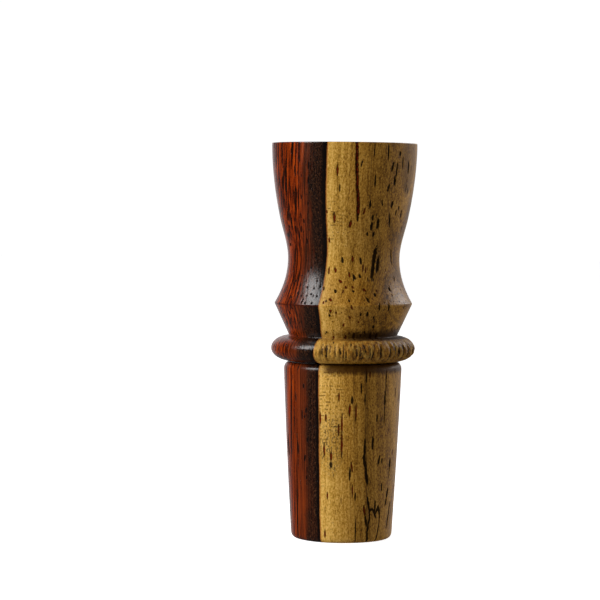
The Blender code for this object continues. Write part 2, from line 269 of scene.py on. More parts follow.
BARREL_BLACK = (
    (-3.7, 91.7, 1.8, 0.25, -2), (13.5, 97.9, 2.0, 0.3, -7), (25.3, 93.5, 3.2, 0.35, -3), (22.3, 87.6, 2.3, 0.49, -3),
    (25.9, 84.2, 1.5, 0.47, -3), (25.6, 81.9, 2.1, 0.6, 3), (31.8, 82.6, 2.6, 0.75, -2), (22.4, 79.9, 1.1, 0.46, 13),
    (28.8, 79.9, 1.4, 0.55, -8), (41.2, 97.3, 2.5, 0.48, -9), (45.9, 96.5, 3.5, 0.42, 1), (44.5, 93.6, 2.3, 0.58, -2),
    (38.5, 91.9, 2.0, 0.5, -6), (48.8, 100.7, 1.3, 0.6, -3), (52.6, 98.2, 3.2, 0.33, 5), (61.4, 97.2, 3.3, 0.55, -2),
    (44.7, 87.5, 2.0, 0.57, -8), (33.6, 87.9, 1.7, 0.34, 7), (54.3, 86.7, 1.1, 0.5, 10), (51.3, 85.5, 1.4, 0.43, 1),
    (59.5, 85.0, 2.0, 0.45, 6), (44.4, 83.6, 3.3, 0.42, 7), (-1.2, 73.1, 1.6, 0.57, 19), (17.3, 73.0, 1.8, 0.57, 15),
    (10.6, 68.9, 1.4, 0.59, 22), (15.9, 69.2, 1.0, 0.52, 18), (-7.3, 65.3, 0.9, 0.52, 34), (9.0, 65.3, 0.7, 0.47, 44),
    (4.8, 63.0, 0.6, 0.36, 48), (21.5, 63.1, 1.4, 0.55, 27), (29.1, 64.4, 0.9, 0.55, 7), (47.3, 65.7, 1.1, 0.54, 13),
    (-11.8, 59.1, 0.9, 0.46, 2), (21.3, 59.4, 1.6, 0.58, 4), (15.3, 59.4, 1.0, 0.41, 0), (27.9, 58.6, 0.8, 0.46, 20),
    (30.0, 56.1, 1.1, 0.59, 49), (31.1, 61.1, 1.9, 0.36, 10), (40.9, 61.2, 2.3, 0.41, 8), (21.9, 54.7, 1.0, 0.4, 18),
    (-16.6, 54.7, 0.7, 0.44, 1), (28.8, 53.7, 1.8, 0.7, -5), (36.0, 53.7, 1.8, 0.69, -16), (11.0, 53.7, 1.7, 0.69, 0),
    # long ones in the darker layers, drawn as chains
    (32.5, 74.3, 4.9, 1.05, -12), (30.6, 71.1, 5.6, 0.92, -12), (36.4, 72.0, 4.4, 0.8, -12), (36.2, 101.0, 4.5, 0.36, -1),
    (56.4, 74.2, 4.4, 0.45, 9), (23.9, 101.2, 3.4, 0.22, 0),
)
# the open crack near the mouthpiece
BARREL_CRACK = (
    (9.6, 102.3, 3.2, 0.48, 1), (9.6, 99.8, 4.4, 0.56, 0), (9.8, 96.5, 4.9, 0.54, 2), (10.5, 92.7, 5.4, 0.49, 4),
    (11.3, 89.3, 4.2, 0.47, 4), (12.0, 86.2, 4.6, 0.62, 4),
)
# the same in the heartwood
BARREL_HEART = (
    (-37.6, 70.2, 0.6, 0.54, 8), (-45.4, 69.0, 0.6, 0.59, 12), (-53.4, 67.6, 0.7, 0.68, 12), (-34.4, 71.1, 0.6, 0.52, 6),
    (-25.9, 67.8, 0.6, 0.45, 9), (-21.7, 66.4, 0.6, 0.43, 9), (-35.6, 66.1, 0.6, 0.49, 12), (-28.1, 65.9, 0.6, 0.45, 12),
    (-34.5, 64.0, 0.6, 0.45, 12), (-40.0, 63.9, 0.6, 0.49, 12), (-29.7, 64.4, 0.6, 0.44, 12), (-45.4, 64.6, 0.6, 0.54, 12),
    (-37.7, 62.3, 0.6, 0.45, 12), (-34.0, 62.1, 0.6, 0.43, 12), (-27.2, 62.2, 0.6, 0.4, 12), (-23.6, 63.9, 0.6, 0.41, 12),
    (-51.5, 63.4, 0.6, 0.59, 12), (-38.1, 99.6, 3.0, 0.45, -2), (-43.1, 95.8, 2.8, 0.49, -5), (-58.7, 99.6, 4.6, 0.64, -2),
    (-60.2, 93.0, 4.7, 0.92, -8), (-56.2, 92.1, 2.8, 0.62, -7), (-51.0, 80.9, 2.5, 0.75, -12), (-59.7, 84.4, 2.8, 0.79, -9),
    (-43.2, 81.0, 1.7, 0.47, -12), (-61.4, 81.6, 1.0, 0.65, -12), (-67.2, 76.9, 1.0, 0.94, -12),
)
INSERT_HEART = (
    (-41.0, 40.6, 1.3, 0.58, -3), (-53.0, 37.5, 2.7, 0.46, -1), (-38.7, 34.4, 1.3, 0.57, -12), (-40.7, 32.6, 0.8, 0.55, -5),
    (-37.2, 26.9, 1.9, 0.57, -9), (-51.7, 24.3, 3.2, 0.61, 1), (-41.5, 21.9, 1.7, 0.58, -8), (-40.0, 16.9, 1.3, 0.54, -6),
    (-56.7, 30.9, 6.9, 0.46, -1), (-72.8, 24.5, 5.4, 0.91, 0),
)
# grooves between the raised fibres of the bead; their dark colour is painted shade
BEAD_MARKS = (
    (-17.2, 49.9, 3.0, 0.24, 0), (-16.3, 49.6, 4.0, 0.29, 0), (-12.9, 49.8, 4.4, 0.44, 0), (-10.2, 50.2, 3.3, 0.21, 0),
    (-6.1, 50.0, 2.4, 0.32, 0), (-2.1, 49.7, 3.2, 0.39, 0), (0.5, 49.8, 4.2, 0.31, 0), (2.6, 48.8, 2.0, 0.25, 0),
    (10.9, 49.9, 3.2, 0.49, 0), (14.1, 49.5, 3.5, 0.36, 0), (22.0, 49.6, 3.2, 0.37, 0), (24.4, 49.1, 2.8, 0.28, 0),
    (31.7, 49.6, 3.2, 0.54, 0), (40.8, 49.6, 4.4, 0.62, 0), (46.5, 49.8, 3.9, 0.56, 0), (51.1, 49.6, 3.4, 0.40, 0),
    (57.3, 49.3, 4.2, 0.60, 0), (64.6, 49.7, 4.3, 0.80, 0), (69.4, 49.6, 3.0, 0.50, 0), (17.4, 51.2, 1.0, 0.43, 0),
    (18.5, 50.0, 1.0, 0.38, 0), (16.0, 48.3, 0.9, 0.41, 0), (6.7, 51.7, 0.9, 0.35, 0), (-8.0, 52.2, 0.8, 0.34, 0),
    (74.5, 50.1, 3.6, 0.50, 0), (79.0, 49.4, 3.9, 0.42, 0), (85.0, 49.9, 4.2, 0.60, 0), (91.0, 49.7, 3.0, 0.45, 0),
    (96.0, 50.0, 4.1, 0.55, 0), (101.5, 49.5, 2.8, 0.36, 0), (108.0, 49.8, 4.0, 0.62, 0), (113.0, 49.6, 3.1, 0.40, 0),
    (121.0, 49.8, 3.9, 0.56, 0), (127.5, 50.1, 2.6, 0.40, 0), (133.0, 49.6, 4.2, 0.60, 0), (141.0, 49.8, 3.3, 0.44, 0),
    (148.0, 49.7, 3.8, 0.52, 0),
)
INSERT_RED = (
    (-22.3, 32.5, 3.3, 0.5, 2), (-16.4, 32.7, 1.8, 0.47, -3), (-3.2, 38.0, 2.5, 0.36, 4), (7.3, 34.9, 3.1, 0.53, 4),
    (13.6, 34.1, 4.1, 0.43, 3), (-0.2, 31.3, 5.6, 0.42, -1), (-0.2, 25.7, 7.0, 0.5, 0), (-3.4, 29.5, 3.1, 0.45, 2),
    (-18.4, 24.3, 3.3, 0.5, -2), (-11.1, 22.7, 2.6, 0.62, 1), (10.5, 19.9, 2.6, 0.45, 10), (11.6, 13.8, 3.3, 0.37, 3),
    (-15.2, 12.5, 2.0, 0.41, 1), (-18.2, 2.4, 2.3, 0.46, -1), (27.2, 43.7, 1.7, 0.4, 3), (25.5, 8.6, 2.6, 0.65, 7),
)
INSERT_BLACK = (
    (9.7, 37.3, 2.2, 0.51, 4), (18.7, 40.3, 3.0, 0.35, 5), (22.6, 37.4, 3.0, 0.32, 4), (46.4, 37.3, 3.9, 0.62, 0),
    (46.6, 33.2, 5.9, 0.36, 2), (36.9, 32.4, 2.0, 0.42, -3), (32.7, 26.1, 3.4, 0.66, -3), 
    (-11.3, 20.5, 1.5, 0.77, 9), (41.7, 21.3, 2.8, 0.6, -6), (46.1, 21.2, 1.7, 0.46, 1), (47.6, 14.4, 2.3, 0.5, -1),
    (58.0, 12.4, 2.7, 0.72, -7), (56.4, 10.4, 2.7, 0.62, -11), (8.4, 18.1, 3.1, 0.54, 6), (14.9, 12.2, 2.3, 0.42, 2),
    (23.3, 43.4, 4.0, 0.3, -2), (47.0, 42.0, 5.9, 0.36, 3), (59.8, 19.2, 4.6, 0.45, 4),
    # wandering dark lines low on the right, drawn as chains
    (23.8, 24.4, 5.6, 0.60, 0), (24.5, 20.8, 4.9, 0.82, 8), (26.7, 17.4, 4.5, 0.78, 16), (30.4, 10.1, 4.6, 0.6, 9),
    (32.8, 8.4, 1.6, 0.58, 149), (35.0, 8.7, 1.6, 0.58, 82), (38.4, 7.8, 2.9, 0.6, 29), (39.2, 9.5, 3.0, 0.55, -3),
    (42.2, 8.5, 2.8, 0.62, 153), (44.9, 8.6, 2.7, 0.52, 20), (46.4, 6.1, 4.6, 0.36, 4), (45.5, 3.3, 3.6, 0.42, -13),
    (43.5, 1.1, 2.8, 0.44, -17), (32.2, 7.2, 3.1, 0.5, 0), (31.7, 5.5, 2.9, 0.52, -11), (30.5, 3.4, 2.9, 0.56, -7),
    (30.5, 1.4, 3.2, 0.6, 4), (27.8, 5.8, 2.7, 0.6, 9), (65.0, 8.6, 3.4, 0.5, -14), (63.0, 5.5, 5.0, 0.55, -7),
    (16.1, 3.2, 6.2, 0.3, 2),
)


# ======================================================================
# The blank that both wooden pieces were turned from
# ======================================================================
LEAN = 0.45  # the heartwood's face is turned this much towards -Y
NORM = math.hypot(1.0, LEAN)


GRAIN = -math.atan(LEAN)  # turns X and Y into depth across and along the growth layers


def wood(name, red, black, heart_black, crack, ripple_span, bead=None):
    g = Graph(name)
    point, x, y, z = g.place()
    turn = g.math("ARCTAN2", x, -y)  # radians round from the front, + to the right

    # ---- texture that ignores the grain's wander ------------------------------
    grit = g.noise(point, (0.40, 0.40, 0.52), detail=3.0, rough=0.75)
    cloud = g.noise(point, (4.5, 4.5, 6.5), detail=2.0, seed=3.0)
    small = (g.noise(point, (3.6, 3.6, 9.0), detail=3.0, seed=8.0) - 0.5) * 0.7
    wander = (g.noise(point, (32.0, 32.0, 34.0), detail=2.0, seed=1.0) - 0.5) * 0.8
    fray = (g.noise(point, (0.5, 0.5, 0.9), detail=1.0, seed=5.0) - 0.5) * 0.9

    # ---- marks listed one by one ------------------------------------------------
    u = turn * ROUND
    sheets = {}

    def sheet(lean):
        if lean not in sheets:
            c, d = math.cos(math.radians(lean)), math.sin(math.radians(lean))
            sheets[lean] = g.vec(u * c + z * d, z * c - u * d, 0.0) if lean else g.vec(u, z, 0.0)
        return sheets[lean]

    def nearest(marks):
        """Distance to the nearest mark, 1 at its edge."""
        best = None
        for at, high, length, width, lean in marks:
            lean = min((-12, 0, 12, 28, 47, 85, 151), key=lambda v: abs(v - lean))
            c, d = math.cos(math.radians(lean)), math.sin(math.radians(lean))
            u0 = math.radians(at) * ROUND
            cu, cv = u0 * c + high * d, high * c - u0 * d
            # the cone is cut steeply across the grain, so vessels are shorter there
            short = 0.74 if 54.0 < high < 61.4 else 1.0
            sx, sy = 2.0 / (width * 1.28), 2.0 / (length * 1.10 * short)
            m = g.node("ShaderNodeVectorMath", operation="MULTIPLY_ADD")
            g.put(m.inputs[0], sheet(lean))
            m.inputs[1].default_value = (sx, sy, 0.0)
            m.inputs[2].default_value = (-cu * sx, -cv * sy, 0.0)
            n = g.node("ShaderNodeVectorMath", operation="LENGTH")
            g.nt.links.new(m.outputs[0], n.inputs[0])
            d = Val(g, n.outputs["Value"])
            best = d if best is None else g.math("MINIMUM", best, d)
        return best

    # only on the outer skin, as a cut vessel doesn't show as a line in the dish or the bores
    radius = g.math("SQRT", x * x + y * y)
    if bead:
        skin = g.step(-1.7, -1.2, radius - g.math("MINIMUM", (z - 84.0) * 0.15 + 16.8, 18.75))
    else:
        skin = g.step(10.9, 11.5, radius)
    to_red = nearest(red) + fray
    red_mark, red_core = g.step(1.20, 0.80, to_red) * skin, g.step(0.80, 0.40, to_red) * skin
    black_mark = g.step(1.15, 0.80, nearest(black) + fray) * skin
    heart_mark = g.step(1.10, 0.75, nearest(heart_black) + fray) * skin
    crack_mark = crack_core = None
    if crack:
        to_crack = nearest(crack) + fray * 1.1
        crack_mark, crack_core = g.step(1.40, 0.95, to_crack), g.step(0.90, 0.45, to_crack)

    # ---- depth into the sapwood --------------------------------------------------
    shift = g.math("MAXIMUM", z - 49.0, 0.0) * 0.067 + g.step(54.0, 58.0, z) * 0.22 + 0.15
    s = ((x - shift) - y * LEAN) / NORM
    edge_s = s + small * 0.5 + wander * 0.2 + fray * 0.13
    sw = s + wander * 0.5 + small * 0.4
    edge = g.step(-0.14, 0.10, edge_s)
    grain = g.moved(point, wander * 0.6 - shift, wander * 0.4, 0.0)

    # ---- figure that runs with the grain ------------------------------------------
    broad = g.noise(grain, (1.8, 6.2, 100.0), GRAIN, detail=3.0, rough=0.6)
    streak = g.noise(grain, (0.52, 2.4, 60.0), GRAIN, seed=4.0, detail=3.0, rough=0.60)
    thin = g.noise(grain, (0.34, 0.80, 30.0), GRAIN, seed=9.0, detail=3.0, rough=0.55)
    fleck = g.noise(grain, (0.31, 0.31, 0.82), seed=14.0, detail=2.0, rough=0.65)

    # ripple marks: short rays lined up in rows across the grain
    row = z / 0.86 + cloud * 1.4
    dash = g.noise(g.vec(x * 0.00095, y * 0.00095, g.math("FLOOR", row) * 0.0073).socket, (0.62, 0.62, 1.0), detail=1.0)
    ripple = g.step(-0.15, 0.75, g.math("SINE", row * (2 * math.pi))) * g.step(0.50, 0.60, dash)
    low, high, near = ripple_span
    here = g.step(low - 5, low, z) * g.step(high + 5, high, z) * g.step(near + 3.0, near, s)
    ripple = ripple * g.clamp(here + g.step(0.56, 0.68, cloud) * 0.6)

    # ---- vessels everywhere: thin hollows along the grain --------------------------
    def vessels(across, along, small_r, large_r, empty, seed):
        d, (ra, rb, rc) = g.voronoi(grain, (across, across, along), seed=seed)
        r = g.lerp(ra, small_r, large_r) * g.step(empty, empty + 0.1, rb)
        return g.step(1.08, 0.82, g.math("DIVIDE", d, g.math("MAXIMUM", r, 0.004))), rc

    large, tone = vessels(1.05, 6.0, 0.12, 0.25, 0.25, 0.0)
    fine, _ = vessels(0.52, 3.2, 0.10, 0.22, 0.35, 31.0)
    front = g.step(1.20, 0.85, g.math("ABSOLUTE", turn))
    if bead:
        slopes = g.step(52.0, 53.5, z) * g.step(74.0, 70.0, z)
        keep = 1.0 - front * (0.80 - slopes * 0.62)
    else:
        keep = 1.0 - front * 0.72
    keep = g.math("MAXIMUM", keep, 1.0 - edge)
    large = large * g.step(0.0, 0.25, keep - g.noise(point, (1.1, 1.1, 4.0), detail=0.0, seed=21.0) * 0.55)

    # ---- heartwood --------------------------------------------------------------------
    hair = g.noise(grain, (0.40, 2.0, 40.0), GRAIN, seed=41.0, detail=2.0, rough=0.5)
    tone_h = (
        0.53
        + (streak - 0.5) * 0.74
        + (thin - 0.5) * 0.74
        + (broad - 0.5) * 0.22
        + (grit - 0.5) * 0.26
        - g.step(0.54, 0.60, hair) * 0.26
        + g.step(0.42, 0.36, hair) * 0.13
    )
    heart = g.ramp(
        tone_h,
        [
            (0.27, (0.0040, 0.0018, 0.0010)),
            (0.37, (0.0240, 0.0045, 0.0010)),
            (0.46, (0.0820, 0.0092, 0.0008)),
            (0.58, (0.1850, 0.0210, 0.0009)),
            (0.74, (0.3400, 0.0480, 0.0018)),
        ],
    )
    # duller and browner towards the dark layer
    dull = g.step(-9.0, -6.0, sw + (thin - 0.5) * 3.0)
    heart = g.mix(dull * 0.55, heart, g.mix(tone_h, (0.030, 0.0080, 0.0030, 1), (0.150, 0.0300, 0.0085, 1)))
    black_layer = g.ramp(
        0.5 + (grit - 0.5) * 1.5 + (fleck - 0.5) * 0.9,
        [
            (0.30, (0.0035, 0.0022, 0.0018)),
            (0.50, (0.0130, 0.0060, 0.0034)),
            (0.68, (0.0340, 0.0135, 0.0055)),
            (0.86, (0.0850, 0.0340, 0.0120)),
        ],
    )
    low_edge, depth, black_edge = ((-6.9, -3.5), 0.95, (-1.7, -0.8)) if bead else ((-6.1, -2.7), 0.90, (-1.20, -0.55))
    heart = g.mix(g.step(*low_edge, sw + (thin - 0.5) * 4.5 + (grit - 0.5) * 1.6 + (cloud - 0.5) * 2.6) * depth, heart, black_layer)
    heart = g.mix(g.step(*black_edge, edge_s + (thin - 0.5) * 0.9) * 0.88, heart, (0.0028, 0.0020, 0.0018, 1.0))

    # ---- sapwood ----------------------------------------------------------------------
    late = g.step(7.0, 11.5, sw)  # a denser, browner layer further in
    tone_s = (
        (0.56 if bead else 0.61)
        + (broad - 0.5) * 0.55
        + (streak - 0.5) * 0.50
        + (thin - 0.5) * 0.26
        + (fleck - 0.5) * 0.80
        + (grit - 0.5) * 0.95
        + (cloud - 0.5) * 0.30
        - late * 0.10
        + g.step(4.5, 0.5, s) * 0.08
    )
    sap = g.ramp(
        tone_s,
        [
            (0.16, (0.0600, 0.0240, 0.0030)),
            (0.34, (0.2000, 0.0940, 0.0085)),
            (0.52, (0.4100, 0.2120, 0.0290)),
            (0.68, (0.5700, 0.3180, 0.0600)),
            (0.86, (0.7200, 0.4400, 0.1150)),
        ],
    )
    sap = g.mix(g.step(2.5, 9.5, sw), sap, g.mix(1.0, sap, (0.90, 0.80, 0.62, 1.0), "MULTIPLY"))
    lines = g.noise(grain, (0.67, 12.5, 100.0), GRAIN, seed=27.0, detail=2.0, rough=0.55)
    lines = g.step(0.58, 0.68, lines) * g.step(4.0, 8.0, s)
    sap = g.mix(lines * 0.55, sap, (0.1150, 0.0500, 0.0060, 1.0))
    sap = g.mix(ripple * 0.72, sap, (0.1100, 0.0480, 0.0050, 1.0))

    # ---- put together -------------------------------------------------------------------
    colour = g.mix(edge, heart, sap)
    lit_line = g.step(-0.20, 0.04, edge_s) * g.step(0.34, 0.10, edge_s)
    colour = g.mix(lit_line * 0.70, colour, (0.3000, 0.0750, 0.0080, 1.0))
    red_tone, black_tone = (0.0620, 0.0085, 0.0018, 1.0), (0.0080, 0.0040, 0.0022, 1.0)
    hollow = g.mix(g.step(0.45, 0.75, tone), black_tone, red_tone)
    hollow = g.mix(edge, (0.0030, 0.0020, 0.0018, 1.0), hollow)
    colour = g.mix(fine * g.clamp(keep + 0.1) * (1.0 - here * edge) * 0.50, colour, g.mix(edge, (0.0050, 0.0030, 0.0020, 1.0), (0.1200, 0.0560, 0.0100, 1.0)))
    colour = g.mix(large * 0.93, colour, hollow)
    colour = g.mix(red_mark * 0.90, colour, (0.0300, 0.0085, 0.0016, 1.0))
    colour = g.mix(red_core * 0.90, colour, g.mix(grit, (0.0500, 0.0030, 0.0008, 1.0), (0.2100, 0.0160, 0.0015, 1.0)))
    colour = g.mix(black_mark * 0.95, colour, (0.0050, 0.0028, 0.0016, 1.0))
    colour = g.mix(heart_mark * 0.92, colour, (0.0030, 0.0022, 0.0018, 1.0))
    hollows = g.math("MAXIMUM", g.math("MAXIMUM", large, red_mark), g.math("MAXIMUM", black_mark, heart_mark))
    torn = 0.0
    if crack_mark is not None:
        colour = g.mix(crack_mark * 0.94, colour, (0.0130, 0.0042, 0.0012, 1.0))
        colour = g.mix(crack_core * 0.94, colour, g.mix(g.step(0.40, 0.62, grit), (0.0120, 0.0016, 0.0008, 1), (0.1500, 0.0120, 0.0014, 1)))
        hollows = g.math("MAXIMUM", hollows, crack_mark)
    if bead:
        on_bead = g.step(47.0, 47.6, z) * g.step(53.4, 52.8, z) * edge
        colour = g.mix(on_bead, colour, g.mix(1.0, colour, (0.90, 0.84, 0.74, 1.0), "MULTIPLY"))
        # painted highlights on raised lumps of the bead and painted shade between them
        lump_highlight_shade = g.noise(point, (0.9, 0.9, 2.6), seed=33.0, detail=2.0)
        colour = g.mix(on_bead * g.step(0.48, 0.62, lump_highlight_shade) * 0.60, colour, (0.5200, 0.3000, 0.0600, 1.0))
        colour = g.mix(on_bead * g.step(0.44, 0.30, lump_highlight_shade) * 0.55, colour, (0.0700, 0.0280, 0.0040, 1.0))
        # painted shade in the bead's grooves, darker still where the carved groove is deep
        gap = g.step(0.86, 0.62, nearest(BEAD_MARKS) + fray * 2.6) * edge
        colour = g.mix(g.math("MAXIMUM", gap * 0.88, g.attribute("groove") * 0.30), colour, (0.0130, 0.0050, 0.0010, 1.0))
        torn = on_bead * 0.14
        burr = g.step(0.57, 0.63, grit) * on_bead
        colour = g.mix(burr * 0.55, colour, (0.0500, 0.0200, 0.0030, 1.0))
        # painted shade: the upward-facing slope above the ridge is darkened
        slope_shade = g.step(61.5, 62.2, z) * g.step(72.5, 66.5, z) * edge
        colour = g.mix(slope_shade, colour, g.mix(1.0, colour, (0.82, 0.78, 0.68, 1.0), "MULTIPLY"))
        # painted shade at the foot of the cone above the bead, stronger on the side away from the key light, partly
        # dirt
        neck_shade_dirt = g.step(56.0, 54.0, z + fray * 1.4 + (thin - 0.5) * 1.6) * g.step(52.4, 52.8, z) * edge
        neck_shade_dirt = neck_shade_dirt * g.lerp(g.step(-0.20, 0.30, turn), 0.30, 0.90)
        colour = g.mix(neck_shade_dirt, colour, (0.0240, 0.0080, 0.0012, 1.0))
        # darker line along the ridge's edge on the heartwood
        at_edge = g.step(0.30, 0.10, g.math("ABSOLUTE", z - 61.52))
        colour = g.mix(at_edge * (1.0 - edge) * 0.7, colour, (0.0400, 0.0040, 0.0012, 1.0))

    else:
        far = g.math("ADD", g.math("POWER", (turn + 0.19) / 0.24, 2.0), g.math("POWER", (z - 25.5) / 8.5, 2.0))
        smoke = g.step(1.30, 0.40, far) * g.step(0.51, 0.60, fleck) * edge
        colour = g.mix(smoke * 0.80, colour, (0.0420, 0.0230, 0.0070, 1.0))
        # painted shadow that the bead casts on the shoulder, only on the side away from the key light, with some dust
        ragged = z + (thin - 0.5) * 1.8 + fray * 0.7
        shoulder_shadow_dust = g.step(43.3, 44.7, ragged) * edge * g.step(-0.44, -0.20, turn) * g.step(1.6, 1.3, turn)
        colour = g.mix(shoulder_shadow_dust * 0.90, colour, (0.0420, 0.0130, 0.0012, 1.0))

    # ---- surface --------------------------------------------------------------------------
    rough = g.clamp(
        0.215 + (grit - 0.5) * 0.20 + (fleck - 0.5) * 0.08 + hollows * 0.35 + edge * 0.20 + (cloud - 0.5) * 0.10 + torn,
        0.10,
        0.95,
    )
    relief = (grit - 0.5) * 0.030 + (fleck - 0.5) * 0.016 + (thin - 0.5) * 0.014 - large * 0.110
    normal = g.bump(relief, 1.0)
    return g.finish(colour, rough, normal, Specular_IOR_Level=g.lerp(edge, 0.31, 0.15) * (1.0 - hollows * 0.85), IOR=1.5)


# ======================================================================
# Turned profiles, the same design dimensions as the CAD
# ======================================================================
CALL_LENGTH, BORE_R = 103.4, 15.875 / 2
RIM_R = 19.0
FLARE = (84.16, 33.65 / 2, 0.208)
WAIST = (73.33, 29.18 / 2)
RIDGE = (61.6, 36.16 / 2, -0.60)
NECK = (53.05, 14.1)
BEAD = (49.8, 18.85, 3.28)
BARREL_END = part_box("barrel")[0].z / MM
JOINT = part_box("insert")[1].z / MM


def hermite(z, z0, r0, s0, z1, r1, s1):
    h = z1 - z0
    t = (z - z0) / h
    return (
        (2 * t**3 - 3 * t**2 + 1) * r0
        + (t**3 - 2 * t**2 + t) * h * s0
        + (-2 * t**3 + 3 * t**2) * r1
        + (t**3 - t**2) * h * s1
    )


def barrel_side(z):
    if z >= FLARE[0]:
        return hermite(z, *FLARE, CALL_LENGTH, RIM_R, 0.0)
    if z >= WAIST[0]:
        return hermite(z, *WAIST, 0.0, *FLARE)
    if z >= RIDGE[0]:
        return hermite(z, *RIDGE, *WAIST, 0.0)
    return NECK[1] + (RIDGE[1] - NECK[1]) * (z - NECK[0]) / (RIDGE[0] - NECK[0])


def dish(t):
    wide, deep = RIM_R - 1.7, 6.2
    across = wide - BORE_R
    pts = ((BORE_R, deep), (BORE_R, 0.42 * deep), (BORE_R + 0.55 * across, 0.55 * deep), (wide, 0.0))
    w = ((1 - t) ** 3, 3 * t * (1 - t) ** 2, 3 * t**2 * (1 - t), t**3)
    return sum(a * p[0] for a, p in zip(w, pts)), sum(a * p[1] for a, p in zip(w, pts))


def barrel_profile():
    """(outline, index where the outside ends)"""
    out = [(RIM_R, CALL_LENGTH)]
    out += [(barrel_side(z), z) for z in np.arange(CALL_LENGTH - 0.1, RIDGE[0], -0.1)]
    out += [(barrel_side(RIDGE[0]), RIDGE[0])]
    out += [(barrel_side(z), z) for z in np.arange(RIDGE[0] - 0.1, NECK[0] + 0.02, -0.1)]
    for a in np.linspace(0.03, math.pi - 0.03, 150):
        out.append((NECK[1] + (BEAD[1] - NECK[1]) * math.sin(a), BEAD[0] + BEAD[2] * math.cos(a)))
    out.append((NECK[1], BARREL_END))
    outside = len(out)
    out += [(r, BARREL_END) for r in np.linspace(NECK[1] - 0.5, BORE_R + 0.4, 12)]
    out += [(BORE_R, z) for z in np.linspace(BARREL_END + 0.4, CALL_LENGTH - 6.3, 60)]
    out += [(r, CALL_LENGTH - d) for r, d in (dish(t) for t in np.linspace(0, 1, 60))]
    out += [(r, CALL_LENGTH) for r in np.linspace(RIM_R - 1.5, RIM_R - 0.15, 8)]
    return out, outside


def insert_side(z):
    t = z / JOINT
    return (26.34 + (31.05 - 26.34) * t) / 2 + 0.13 * 4 * t * (1 - t)


def insert_profile():
    lip_r, lip_h, sh_r, sh_h = 1.25, 1.5, 1.4, 1.9
    out = [(BORE_R + 0.4, JOINT)]
    top = insert_side(JOINT - sh_h)
    out += [(r, JOINT) for r in np.linspace(BORE_R + 0.8, top - sh_r - 0.3, 10)]
    for a in np.linspace(0, math.pi / 2, 24):
        out.append((top - sh_r + sh_r * math.sin(a), JOINT - sh_h + sh_h * math.cos(a)))
    out += [(insert_side(z), z) for z in np.arange(JOINT - sh_h - 0.1, lip_h, -0.1)]
    side = insert_side(lip_h)
    for a in np.linspace(0, math.pi / 2, 24):
        out.append((side - lip_r + lip_r * math.cos(a), lip_h - lip_h * math.sin(a)))
    outside = len(out)
    out += [(r, 0.0) for r in np.linspace(side - lip_r - 0.3, 8.6, 8)]
    for a in np.linspace(0, math.pi / 2, 30):
        out.append((8.3 - (8.3 - 5.55) * math.sin(a), 9.0 * (1 - math.cos(a))))
    out += [(5.55, z) for z in np.linspace(9.5, JOINT - 23.05, 12)]
    out += [(r, JOINT - 23.05) for r in np.linspace(5.9, BORE_R, 6)]
    out += [(BORE_R, z) for z in np.linspace(JOINT - 22.6, JOINT - 0.4, 24)]
    return out, outside


def smooth_outline(points, outside, base_out, base_in, ease=0.11, finest=0.10):
    """Eases every corner of a closed outline, then spaces its points: close where it bends, wider where it is straight and on the inside."""
    p = np.array(points, float)
    n = len(p)
    nxt = np.roll(p, -1, axis=0)
    seg = np.hypot(*(nxt - p).T)
    at = np.concatenate([[0], np.cumsum(seg)])
    total = at[-1]
    m = int(total / 0.02)
    u = np.arange(m) * total / m
    closed = np.vstack([p, p[:1]])
    fine = np.stack([np.interp(u, at, closed[:, 0]), np.interp(u, at, closed[:, 1])], 1)
    k = np.exp(-0.5 * (np.arange(-40, 41) * (total / m) / ease) ** 2)
    k /= k.sum()
    pad = np.vstack([fine[-40:], fine, fine[:40]])
    soft = np.stack([np.convolve(pad[:, i], k, "valid") for i in (0, 1)], 1)
    d1 = (np.roll(soft, -1, 0) - np.roll(soft, 1, 0)) / 2
    d2 = np.roll(soft, -1, 0) - 2 * soft + np.roll(soft, 1, 0)
    curve = np.abs(d1[:, 0] * d2[:, 1] - d1[:, 1] * d2[:, 0]) / np.maximum(np.hypot(*d1.T), 1e-9) ** 3
    base = np.where(u < at[outside], base_out, base_in)
    gap = np.clip(0.22 / np.maximum(curve, 1e-6), finest, base)
    # ease the change of spacing
    w = 1.0 / gap
    kk = np.ones(61) / 61
    w = np.convolve(np.concatenate([w[-30:], w, w[:30]]), kk, "valid")
    cum = np.concatenate([[0], np.cumsum(w * total / m)])
    count = int(round(cum[-1]))
    pick = np.interp(np.arange(count) * cum[-1] / count, cum, np.arange(m + 1)) % m
    i0 = np.floor(pick).astype(int) % m
    f = (pick - np.floor(pick))[:, None]
    return soft[i0] * (1 - f) + soft[(i0 + 1) % m] * f


